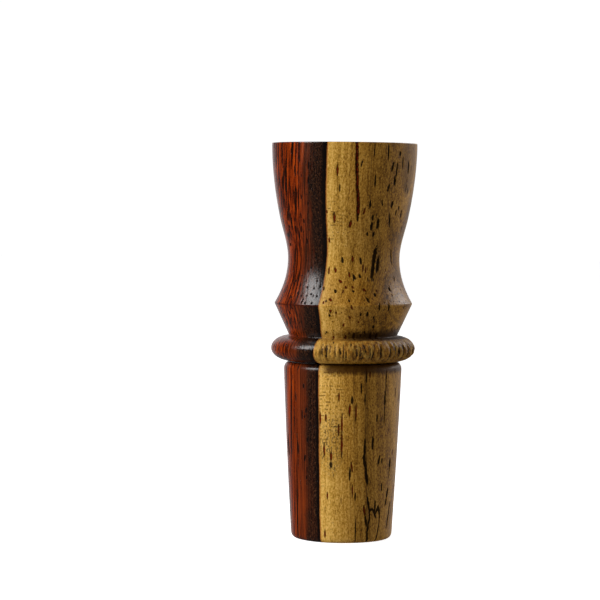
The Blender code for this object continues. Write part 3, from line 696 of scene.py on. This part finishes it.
def lathe(name, outline, segments, offset=None):
    """A closed outline turned about Z. offset(x, y, z, nr, nz) gives how far each point stands out, and any attributes."""
    rows = len(outline)
    tangent = np.roll(outline, -1, 0) - np.roll(outline, 1, 0)
    normal = np.stack([-tangent[:, 1], tangent[:, 0]], 1)
    normal /= np.linalg.norm(normal, axis=1)[:, None]
    area = 0.5 * np.sum(outline[:, 0] * np.roll(outline[:, 1], -1) - np.roll(outline[:, 0], -1) * outline[:, 1])
    if area > 0:
        normal = -normal
    theta = np.arange(segments) * 2 * math.pi / segments
    c, s = np.cos(theta), np.sin(theta)
    r, z = outline[:, 0][:, None], outline[:, 1][:, None]
    nr, nz = normal[:, 0][:, None], normal[:, 1][:, None]
    X, Y, Z = r * c, r * s, z + 0 * c
    extra = {}
    if offset is not None:
        d, extra = offset(X, Y, Z, nr + 0 * c, nz + 0 * c)
        R = np.minimum(r + nr * d, RIM_R - 0.006)
        X, Y, Z = R * c, R * s, np.clip(Z + nz * d, 0.0, CALL_LENGTH - 0.006)
    co = np.stack([X, Y, Z], -1).reshape(-1, 3) * MM
    i = np.arange(rows)[:, None]
    j = np.arange(segments)[None, :]
    i2, j2 = (i + 1) % rows, (j + 1) % segments
    quad = np.stack([i * segments + j, i * segments + j2, i2 * segments + j2, i2 * segments + j], -1).reshape(-1, 4)
    if area > 0:
        quad = quad[:, ::-1]
    # faces point out where the outline's outside runs down
    mesh = bpy.data.meshes.new(name)
    mesh.vertices.add(len(co))
    mesh.vertices.foreach_set("co", co.ravel().astype(np.float32))
    mesh.loops.add(quad.size)
    mesh.loops.foreach_set("vertex_index", quad.ravel().astype(np.int32))
    mesh.polygons.add(len(quad))
    mesh.polygons.foreach_set("loop_start", (np.arange(len(quad)) * 4).astype(np.int32))
    mesh.update(calc_edges=True)
    mesh.validate()
    for key, values in extra.items():
        a = mesh.attributes.new(key, "FLOAT", "POINT")
        a.data.foreach_set("value", values.reshape(-1).astype(np.float32))
    bm = bmesh.new()
    bm.from_mesh(mesh)
    if bm.calc_volume(signed=True) < 0:
        bmesh.ops.reverse_faces(bm, faces=bm.faces[:])
        bm.to_mesh(mesh)
    bm.free()
    mesh.shade_smooth()
    ob = bpy.data.objects.new(name, mesh)
    scene.collection.objects.link(ob)
    return ob


def field(x, y, z, sx, sy, sz, seed, octaves=2):
    """Noise about 0 at each point of the arrays."""
    flat = np.stack([x.ravel() * sx + seed, y.ravel() * sy - seed, z.ravel() * sz + 2 * seed], 1)
    out = np.fromiter((noise.fractal(p, 0.6, 2.0, octaves) for p in flat.tolist()), float, len(flat))
    return out.reshape(x.shape)


def pits(theta, z, marks, depth):
    """How deep each point lies inside a mark."""
    out = np.zeros_like(theta)
    for at, high, length, width, lean in marks:
        rows = np.abs(z[:, 0] - high) < length
        if not rows.any():
            continue
        u = ((theta[rows] - math.radians(at) + math.pi) % (2 * math.pi) - math.pi) * ROUND
        v = z[rows] - high
        c, s = math.cos(math.radians(lean)), math.sin(math.radians(lean))
        d = np.hypot((u * c + v * s) / (width / 2 + 0.06), (v * c - u * s) / (length / 2 + 0.05))
        out[rows] = np.maximum(out[rows], np.clip(1.25 - d, 0, 1) * depth)
    return out


def barrel_relief(x, y, z, nr, nz):
    outside = (nr > 0.05) & (np.hypot(x, y) > 13.5)
    s = ((x - (0.15 + 0.064 * np.maximum(z - 49.0, 0.0))) - LEAN * y) / NORM
    sap = np.clip((s + 0.1) / 0.4, 0, 1)
    theta = np.arctan2(x, -y)
    d = np.zeros_like(x)
    # raised grain on the bead: water has lifted the fibres, so the soft layers lie in grooves
    bead = np.clip(1.25 - np.abs(z - BEAD[0] + 0.2) / 2.9, 0, 1) * (z < NECK[0])
    coarse = field(x, y, z, 0.75, 0.75, 0.10, 4.0, 3)
    tear = field(x, y, z, 1.5, 1.5, 0.35, 9.0, 3)
    wave = field(x * 0, y * 0, z, 0, 0, 0.8, 5.0, 2) * 0.02
    groove = np.zeros_like(x)
    for k, (at, high, length, width, _) in enumerate(BEAD_MARKS):
        short = np.clip((1.35 - np.abs(z - high) / (length / 2 + 0.3)) * 2.0, 0, 1)
        away = np.abs((theta - math.radians(at) + wave * (k % 3 - 1) + math.pi) % (2 * math.pi) - math.pi) * BEAD[1]
        groove = np.maximum(groove, np.clip(1.35 - away / (width / 2 + 0.10), 0, 1) * short * (0.55 + width * 0.7))
    groove = np.minimum(groove, 1.0)
    behind = np.clip((np.abs(theta) - math.radians(152)) / 0.1, 0, 1)
    groove = np.maximum(groove, behind * np.clip((coarse - 0.10) * 6.0, 0, 1))
    groove = groove * bead * sap * outside
    d -= groove * 0.27
    d += outside * bead * sap * (np.minimum(tear, 0.22) * 0.36 - 0.02)
    d += outside * bead * (1 - sap) * tear * 0.05
    # very slight waviness left by the sanding
    d += outside * field(x, y, z, 0.11, 0.11, 0.05, 2.0, 2) * 0.018
    d -= outside * pits(theta, z, BARREL_CRACK, 0.20)
    d -= outside * pits(theta, z, BARREL_BLACK + BARREL_RED + BARREL_HEART, 0.12)
    return d, {"groove": groove}


def insert_relief(x, y, z, nr, nz):
    outside = (nr > 0.05) & (np.hypot(x, y) > 12.0)
    theta = np.arctan2(x, -y)
    d = outside * field(x, y, z, 0.11, 0.11, 0.05, 6.0, 2) * 0.018
    d -= outside * pits(theta, z, INSERT_BLACK + INSERT_RED + INSERT_HEART, 0.12)
    return d, {}


SEGMENTS = 600


def make_wood():
    barrel_wood = wood("rosewood_barrel", BARREL_RED, BARREL_BLACK, BARREL_HEART, BARREL_CRACK, (80, 86, 3.0), bead=True)
    insert_wood = wood("rosewood_insert", INSERT_RED, INSERT_BLACK, INSERT_HEART, None, (27, 44, 5.0))
    for name, (prof, outside), relief, node, slot, finish in (
        ("barrel_turned", barrel_profile(), barrel_relief, "barrel", "barrel_wood", barrel_wood),
        ("insert_turned", insert_profile(), insert_relief, "insert", "insert_wood", insert_wood),
    ):
        line = smooth_outline(prof, outside, 0.60, 2.2)
        ob = lathe(name, line, SEGMENTS, relief)
        print(name, len(line), "rows", len(ob.data.polygons) * 2, "triangles")
        ob.data.materials.append(finish)
        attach(ob, node)
        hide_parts(node)


make_wood()


# ======================================================================
# Inside: the toneboard, its seals, the reeds and the cork
# ======================================================================
BOARD_Z, BOARD_TOP, BOARD_R = 23.5, 96.3, 15.3 / 2
TABLE_Y, NOTCH_Z, NOTCH_RISE = -1.0, 56.0, 7.0
SLOPE = NOTCH_RISE / (BOARD_R + TABLE_Y)
SLOTS = (29.0, 39.5, 49.4, 53.4)


def scratch(name, bm):
    """A working object whose mesh is in millimetres."""
    mesh = bpy.data.meshes.new(name)
    bm.to_mesh(mesh)
    bm.free()
    ob = bpy.data.objects.new(name, mesh)
    scene.collection.objects.link(ob)
    return ob


def turned_solid(name, outline, segments, lean_y=None):
    """Outline from one point on the axis to another, turned about Z."""
    bm = bmesh.new()
    rings = []
    for r, z in outline:
        dy = lean_y(z) if lean_y else 0.0
        if r == 0:
            rings.append([bm.verts.new((0, dy, z))])
        else:
            a = [2 * math.pi * (i + 0.5) / segments for i in range(segments)]
            rings.append([bm.verts.new((r * math.cos(t), r * math.sin(t) + dy, z)) for t in a])
    for p, q in zip(rings, rings[1:]):
        for i in range(segments):
            j = (i + 1) % segments
            corners = [p[i % len(p)], p[j % len(p)], q[j % len(q)], q[i % len(q)]]
            bm.faces.new(list(dict.fromkeys(corners)))
    bmesh.ops.recalc_face_normals(bm, faces=bm.faces[:])
    return scratch(name, bm)


def prism(name, yz, half_x):
    bm = bmesh.new()
    face = bm.faces.new([bm.verts.new((-half_x, y, z)) for y, z in yz])
    out = bmesh.ops.extrude_face_region(bm, geom=[face])
    bmesh.ops.translate(bm, verts=[v for v in out["geom"] if isinstance(v, bmesh.types.BMVert)], vec=(2 * half_x, 0, 0))
    bmesh.ops.recalc_face_normals(bm, faces=bm.faces[:])
    return scratch(name, bm)


def carve(body, cutters, voxel, smooth, keep=None):
    """The body with the cutters taken away and its edges eased, as a new mesh in millimetres."""
    for c in cutters:
        m = body.modifiers.new("cut", "BOOLEAN")
        m.operation, m.solver, m.object = "DIFFERENCE", "EXACT", c
    if keep:
        m = body.modifiers.new("keep", "BOOLEAN")
        m.operation, m.solver, m.object = "INTERSECT", "EXACT", keep
    m = body.modifiers.new("even", "REMESH")
    m.mode, m.voxel_size, m.use_smooth_shade = "VOXEL", voxel, True
    m = body.modifiers.new("ease", "SMOOTH")
    m.factor, m.iterations = 0.5, smooth
    graph = bpy.context.evaluated_depsgraph_get()
    mesh = bpy.data.meshes.new_from_object(body.evaluated_get(graph))
    for ob in [body, *cutters, *([keep] if keep else [])]:
        old = ob.data
        bpy.data.objects.remove(ob)
        bpy.data.meshes.remove(old)
    return mesh


def points_of(mesh):
    co = np.empty(len(mesh.vertices) * 3, np.float32)
    mesh.vertices.foreach_get("co", co)
    return co.reshape(-1, 3).astype(float)


BODY = {
    "rear_oring_1": "toneboard", "rear_oring_2": "toneboard", "wedge_cork": "toneboard",
    "front_oring_1": "seal_rings", "front_oring_2": "seal_rings",
}


def as_piece(name, mesh, material, node):
    mesh.materials.clear()
    mesh.materials.append(material)
    ob = bpy.data.objects.new(name, mesh)
    scene.collection.objects.link(ob)
    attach(ob, BODY.get(node, node))
    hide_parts(node)
    return ob


def cut_in_two(mesh, z):
    """(the part below z, the part above z), both closed."""
    halves = []
    for below in (True, False):
        bm = bmesh.new()
        bm.from_mesh(mesh)
        bmesh.ops.bisect_plane(
            bm, geom=bm.verts[:] + bm.edges[:] + bm.faces[:], plane_co=(0, 0, z), plane_no=(0, 0, 1),
            clear_outer=below, clear_inner=not below,
        )
        rim = [e for e in bm.edges if e.is_boundary]
        for e in rim:
            e.smooth = False
        cap = bmesh.ops.triangle_fill(bm, edges=rim, use_beauty=True, use_dissolve=False)
        for f in cap["geom"]:
            if isinstance(f, bmesh.types.BMFace):
                f.smooth = False
        bmesh.ops.recalc_face_normals(bm, faces=bm.faces[:])
        half = bpy.data.meshes.new("half")
        bm.to_mesh(half)
        bm.free()
        halves.append(half)
    return halves


def moulded():
    g = Graph("moulded_black")
    point, x, y, z = g.place()
    grain = g.noise(point, (0.22, 0.22, 0.22), detail=3.0, rough=0.65)
    drag = g.noise(point, (0.10, 0.10, 5.0), seed=2.0, detail=2.0, rough=0.6)
    smear = g.noise(point, (4.0, 4.0, 8.0), seed=6.0, detail=3.0)
    scuff = g.step(0.62, 0.72, g.noise(point, (0.5, 0.16, 2.6), seed=11.0, detail=2.0, turn=0.4))
    colour = g.ramp(
        0.5 + (grain - 0.5) * 0.5 + (drag - 0.5) * 0.5 + (smear - 0.5) * 0.5,
        [(0.25, (0.0080, 0.0080, 0.0088)), (0.55, (0.0170, 0.0170, 0.0182)), (0.85, (0.0380, 0.0380, 0.0400))],
    )
    colour = g.mix(scuff * 0.35, colour, (0.0700, 0.0700, 0.0720, 1.0))
    rough = g.clamp(0.27 + (grain - 0.5) * 0.20 + (drag - 0.5) * 0.35 + (smear - 0.5) * 0.30 + scuff * 0.2, 0.12, 0.8)
    normal = g.bump((grain - 0.5) * 0.010 + (drag - 0.5) * 0.012, 1.0)
    return g.finish(colour, rough, normal, Specular_IOR_Level=0.45, IOR=1.49)


def rubber():
    g = Graph("seal_rubber")
    point, x, y, z = g.place()
    grain = g.noise(point, (0.16, 0.16, 0.16), detail=3.0, rough=0.7)
    bloom = g.noise(point, (2.4, 2.4, 1.2), seed=3.0, detail=3.0)
    grease = g.step(0.55, 0.66, g.noise(point, (5.0, 5.0, 2.0), seed=8.0, detail=1.0))
    colour = g.ramp(
        0.5 + (grain - 0.5) * 0.5 + (bloom - 0.5) * 0.9,
        [(0.25, (0.0060, 0.0060, 0.0062)), (0.55, (0.0130, 0.0130, 0.0132)), (0.85, (0.0420, 0.0415, 0.0400))],
    )
    rough = g.clamp(0.60 + (grain - 0.5) * 0.25 + (bloom - 0.5) * 0.3 - grease * 0.28, 0.2, 0.9)
    return g.finish(colour, rough, g.bump((grain - 0.5) * 0.016, 1.0), Specular_IOR_Level=0.4, IOR=1.5)


def film(name, tint, seed):
    g = Graph(name)
    point, x, y, z = g.place()
    mist = g.noise(point, (0.14, 0.14, 0.14), seed=seed, detail=2.0, rough=0.7)
    cloud = g.noise(point, (3.0, 3.0, 7.0), seed=seed + 3.0, detail=3.0)
    lines = g.step(0.58, 0.66, g.noise(point, (0.09, 0.5, 9.0), seed=seed + 6.0, detail=2.0))
    cross = g.step(0.60, 0.68, g.noise(point, (6.0, 0.5, 0.10), seed=seed + 9.0, detail=2.0))
    marks = g.math("MAXIMUM", lines, cross * 0.6)
    low = tuple(0.80 * v for v in tint)
    colour = g.mix(g.clamp(0.5 + (mist - 0.5) * 0.9 + (cloud - 0.5) * 1.1), (*low, 1.0), (*tint, 1.0))
    colour = g.mix(marks * 0.25, colour, (0.86, 0.87, 0.84, 1.0))
    # fingers and spit leave the free end a little yellow
    used = g.step(74.0, 92.0, z + (cloud - 0.5) * 9.0)
    colour = g.mix(used * 0.30, colour, (0.62, 0.52, 0.30, 1.0))
    rough = g.clamp(0.34 + (mist - 0.5) * 0.2 + (cloud - 0.5) * 0.2 - marks * 0.12, 0.12, 0.8)
    return g.finish(colour, rough, g.bump((mist - 0.5) * 0.006 - marks * 0.004, 1.0), Specular_IOR_Level=0.5, IOR=1.6)


def cork_skin():
    g = Graph("natural_cork")
    point, x, y, z = g.place()
    d, (ra, rb, rc) = g.voronoi(point, (0.85, 0.62, 0.85), seed=2.0)
    grain = g.noise(point, (0.15, 0.15, 0.15), detail=3.0, rough=0.7)
    band = g.noise(point, (0.8, 6.0, 6.0), seed=7.0, detail=2.0)
    tone = 0.46 + (ra - 0.5) * 0.34 + (grain - 0.5) * 0.5 + (band - 0.5) * 0.5
    colour = g.ramp(
        tone,
        [(0.10, (0.1200, 0.0520, 0.0180)), (0.38, (0.3300, 0.1750, 0.0720)), (0.62, (0.5200, 0.3200, 0.1600)), (0.90, (0.6600, 0.4500, 0.2500))],
    )
    seam = g.step(0.46, 0.62, d)
    colour = g.mix(seam * 0.45, colour, (0.1500, 0.0700, 0.0260, 1.0))
    colour = g.mix(g.attribute("pit") * 0.85, colour, (0.0480, 0.0190, 0.0065, 1.0))
    rough = g.clamp(0.86 + (grain - 0.5) * 0.2, 0.6, 1.0)
    return g.finish(colour, rough, g.bump((grain - 0.5) * 0.040 - seam * 0.030, 1.0), Specular_IOR_Level=0.2, IOR=1.4)


def make_board(material):
    r, ease = BOARD_R, 0.45
    outline = [(0.0, BOARD_Z), (r - ease, BOARD_Z), (r - 0.13, BOARD_Z + 0.13), (r, BOARD_Z + ease)]
    for z in SLOTS:
        outline += [(r, z - 1.05), (6.05, z - 1.05), (6.05, z + 1.05), (r, z + 1.05)]
    outline += [(r, BOARD_TOP - 2.2), (r - 0.30, BOARD_TOP - 1.35), (r - 0.8, BOARD_TOP - 0.7), (r - 1.5, BOARD_TOP - 0.26)]
    outline += [(r - 2.4, BOARD_TOP), (0.0, BOARD_TOP)]
    body = turned_solid("blank", outline, 160)
    over, drop = 3.0, 1.35
    table = prism(
        "cut_table",
        [
            (TABLE_Y, NOTCH_Z), (TABLE_Y, 64.5), (TABLE_Y + drop, BOARD_TOP), (TABLE_Y + drop * 1.1, BOARD_TOP + over),
            (-r - over, BOARD_TOP + over), (-r - over, NOTCH_Z + SLOPE * (r + over + TABLE_Y)),
        ],
        r + over,
    )
    hole = turned_solid(
        "cut_channel",
        [(0.0, BOARD_Z - over), (4.7, BOARD_Z - over), (4.7, BOARD_Z + 2), (2.8, BOARD_Z + 20), (2.8, 57.5), (0.0, 57.5)],
        96,
        lambda z: 1.95 * min(max((z - BOARD_Z) / 20.0, 0.0), 1.0),
    )
    floor = 1.95 + 2.8 - 0.4
    groove = [(TABLE_Y - 0.25, NOTCH_Z - 1.0), (floor, NOTCH_Z - 1.0)]
    for t in np.linspace(0, 1, 40):
        z = NOTCH_Z + 3 + (91.5 - NOTCH_Z - 3) * t
        fall = TABLE_Y + drop * max(0.0, z - 64.5) / (BOARD_TOP - 64.5)
        groove.append((floor + (fall - 0.4 - floor) * t**1.6, z))
    groove += [(TABLE_Y - 2, 91.5), (TABLE_Y - 2, NOTCH_Z + 3.4)]
    groove = prism("cut_groove", groove, 2.4)
    back = prism("cut_back", [(r + over, 78.4), (r + over, BOARD_TOP + over), (r - 3.85, BOARD_TOP + over), (r + 0.2, 82.0)], r + over)
    mesh = carve(body, [table, hole, groove, back], 0.20, 2)
    plug, blade = cut_in_two(mesh, 46.4)
    bpy.data.meshes.remove(mesh)
    for name, half in (("toneboard_plug", plug), ("toneboard_table", blade)):
        half.transform(Matrix.Scale(MM, 4))
        print(name, len(half.polygons), "faces")
        as_piece(name, half, material, "toneboard")


def make_ring(node, z, material):
    around, small = 168, 44
    a = np.arange(around)[:, None] * 2 * math.pi / around
    b = np.arange(small)[None, :] * 2 * math.pi / small
    parting = np.exp(-(((b + math.pi / 2) % math.pi - math.pi / 2) / 0.10) ** 2)
    cord = 0.77 + 0.012 * parting + 0.006 * np.sin(3 * a + z) * np.cos(b)
    r = 7.02 + cord * np.cos(b)
    co = np.stack([r * np.cos(a), r * np.sin(a), z + cord * np.sin(b) + 0 * a], -1).reshape(-1, 3) * MM
    i, j = np.arange(around)[:, None], np.arange(small)[None, :]
    i2, j2 = (i + 1) % around, (j + 1) % small
    quads = np.stack([i * small + j, i2 * small + j, i2 * small + j2, i * small + j2], -1).reshape(-1, 4)
    mesh = bpy.data.meshes.new(node + "_moulded")
    mesh.from_pydata(co.tolist(), [], quads.tolist())
    mesh.update()
    mesh.shade_smooth()
    as_piece(node + "_moulded", mesh, material, node)


def make_reed(node, width, tip, thick, face_y, material):
    half, corner, root = width / 2, 2.4, 58.0
    pts = [(-half, root), (half, root)]
    for t in np.linspace(0, math.pi / 2, 25):
        pts.append((half - corner + corner * math.cos(t), tip - corner + corner * math.sin(t)))
    for t in np.linspace(math.pi / 2, math.pi, 25):
        pts.append((-half + corner + corner * math.cos(t), tip - corner + corner * math.sin(t)))
    bm = bmesh.new()
    face = bm.faces.new([bm.verts.new((x * MM, face_y * MM, z * MM)) for x, z in pts])
    out = bmesh.ops.extrude_face_region(bm, geom=[face])
    bmesh.ops.translate(bm, verts=[v for v in out["geom"] if isinstance(v, bmesh.types.BMVert)], vec=(0, -thick * MM, 0))
    bmesh.ops.recalc_face_normals(bm, faces=bm.faces[:])
    rim = [e for e in bm.edges if abs(e.verts[0].co.y - e.verts[1].co.y) < 1e-9]
    bmesh.ops.bevel(bm, geom=rim, offset=0.07 * MM, segments=3, profile=0.5, affect="EDGES", clamp_overlap=True)
    for f in bm.faces:
        f.smooth = abs(f.normal.y) < 0.999
    for e in bm.edges:
        if len(e.link_faces) == 2 and (e.link_faces[0].smooth != e.link_faces[1].smooth):
            e.smooth = False
    mesh = bpy.data.meshes.new(node + "_cut")
    bm.to_mesh(mesh)
    bm.free()
    as_piece(node + "_cut", mesh, material, node)


def make_cork(material):
    low, high, top = -2.35, -6.2, 64.2

    def wall(y):
        return NOTCH_Z + SLOPE * (TABLE_Y - y) + 0.25 * math.hypot(1.0, SLOPE)

    body = prism("wedge", [(low, wall(low)), (low, top), (high + 2.1, top), (high, top - 1.6), (high, wall(high))], 6.6)
    trim = turned_solid("trim", [(0.0, 54.0), (7.25, 54.0), (7.25, 66.2), (0.0, 66.2)], 96)
    mesh = carve(body, [], 0.15, 3, keep=trim)
    co = points_of(mesh)
    normals = np.empty(len(co) * 3, np.float32)
    mesh.vertices.foreach_get("normal", normals)
    normals = normals.reshape(-1, 3)
    x, y, z = co.T
    coarse = field(x, y, z, 0.55, 0.75, 0.55, 3.0, 3)
    pores = np.clip((field(x, y, z, 1.25, 0.8, 1.25, 12.0, 2) - 0.20) * 4.5, 0, 1)
    fine = field(x, y, z, 3.2, 3.2, 3.2, 7.0, 2)
    deep = 0.03 + 0.10 * np.clip(coarse, 0, 1) + 0.22 * pores + 0.03 * np.clip(fine, 0, 1)
    co -= normals * deep[:, None]
    mesh.vertices.foreach_set("co", (co * MM).astype(np.float32).ravel())
    a = mesh.attributes.new("pit", "FLOAT", "POINT")
    a.data.foreach_set("value", pores.astype(np.float32))
    mesh.update()
    mesh.shade_smooth()
    as_piece("wedge_cork_cut", mesh, material, "wedge_cork")


def make_inside():
    make_board(moulded())
    black = rubber()
    for node, z in (("rear_oring_1", 29.0), ("rear_oring_2", 39.5), ("front_oring_1", 49.4), ("front_oring_2", 53.4)):
        make_ring(node, z, black)
    make_reed("long_reed", 12.8, 95.8, 0.36, -1.18, film("reed_film", (0.66, 0.67, 0.64), 1.0))
    make_reed("short_reed", 12.2, 89.4, 0.30, -1.72, film("reed_film_thin", (0.72, 0.73, 0.70), 15.0))
    make_cork(cork_skin())


make_inside()


# ======================================================================
# Stage and light
# ======================================================================
# (degrees round from the camera, brightness) of what the finish reflects
CARD = (
    (-180, 0.75), (-158, 0.65), (-142, 0.16), (-122, 0.025), (-60, 0.02), (0, 0.02), (50, 0.03),
    (78, 0.30), (104, 0.65), (130, 0.85), (155, 0.80), (180, 0.75),
)
SKY = (0.36, 0.10)


def make_stage():
    bm = bmesh.new()
    half = 3.0
    verts = [bm.verts.new((x, y, -0.0001)) for x, y in ((-half, -half), (half, -half), (half, half), (-half, half))]
    bm.faces.new(verts)
    mesh = bpy.data.meshes.new("floor")
    bm.to_mesh(mesh)
    bm.free()
    floor = bpy.data.objects.new("floor", mesh)
    scene.collection.objects.link(floor)
    g = Graph("pale_floor")
    g.finish((0.90, 0.90, 0.90, 1.0), 0.9, Specular_IOR_Level=0.2)
    g.bsdf.inputs["Emission Color"].default_value = (1, 1, 1, 1)
    g.bsdf.inputs["Emission Strength"].default_value = 0.90
    mesh.materials.append(g.mat)
    floor.visible_diffuse = False
    floor.visible_glossy = False

    # White card behind and to the right, open dark room on the camera's side
    world = bpy.data.worlds.new("studio")
    scene.world = world
    world.use_nodes = True
    w = Graph.__new__(Graph)
    w.nt = world.node_tree
    w.nt.nodes.clear()
    tc = w.node("ShaderNodeTexCoord")
    sep = w.node("ShaderNodeSeparateXYZ")
    w.nt.links.new(tc.outputs["Generated"], sep.inputs[0])
    dx, dy, dz = (Val(w, o) for o in sep.outputs)
    around = w.math("ARCTAN2", dx, -dy) / (2 * math.pi) + 0.5
    card = w.ramp(
        around,
        [((a + 180) / 360, (v, v, v * 1.02)) for a, v in CARD],
    )
    card = w.mix(w.step(0.45, 0.85, dz), card, (0.22, 0.22, 0.23, 1.0))
    card = w.mix(w.step(-0.10, -0.50, dz), card, (0.10, 0.10, 0.10, 1.0))
    soft = w.ramp(w.step(-0.5, 0.5, dz), [(0.0, (SKY[0],) * 3), (1.0, (SKY[1],) * 3)])
    path = w.node("ShaderNodeLightPath")
    glossy = Val(w, path.outputs["Is Glossy Ray"])
    camera = Val(w, path.outputs["Is Camera Ray"])
    colour = w.mix(glossy, soft, card)
    colour = w.mix(camera, colour, (1.03, 1.03, 1.03, 1.0))
    back = w.node("ShaderNodeBackground")
    w.put(back.inputs["Color"], colour)
    out = w.node("ShaderNodeOutputWorld")
    w.nt.links.new(back.outputs[0], out.inputs[0])


def area_light(name, azimuth, elevation, distance, width, height, power, colour=(1, 1, 1)):
    """A softbox aimed at the middle of the call. Azimuth 0 is the camera's side, negative to the left."""
    light = bpy.data.lights.new(name, "AREA")
    light.shape = "RECTANGLE"
    light.size, light.size_y = width, height
    light.energy, light.color = power, colour
    ob = bpy.data.objects.new(name, light)
    az, el = math.radians(azimuth), math.radians(elevation)
    aim = Vector((0, 0, 0.055))
    ob.location = aim + distance * Vector((math.sin(az) * math.cos(el), -math.cos(az) * math.cos(el), math.sin(el)))
    ob.rotation_euler = (aim - ob.location).to_track_quat("-Z", "Y").to_euler()
    scene.collection.objects.link(ob)
    return ob


make_stage()
key = area_light("key", -62, 20, 1.0, 0.46, 0.95, 14.2)
key.visible_glossy = False
shine = area_light("shine", -67, 37, 1.0, 0.40, 0.62, 9.5)
shine.visible_diffuse = False
fill = area_light("fill", 102, 12, 1.0, 0.80, 0.80, 3.6)
fill.visible_glossy = False
rim = area_light("rim", 129, 29, 1.0, 0.52, 0.34, 5.8)
rim.visible_diffuse = False
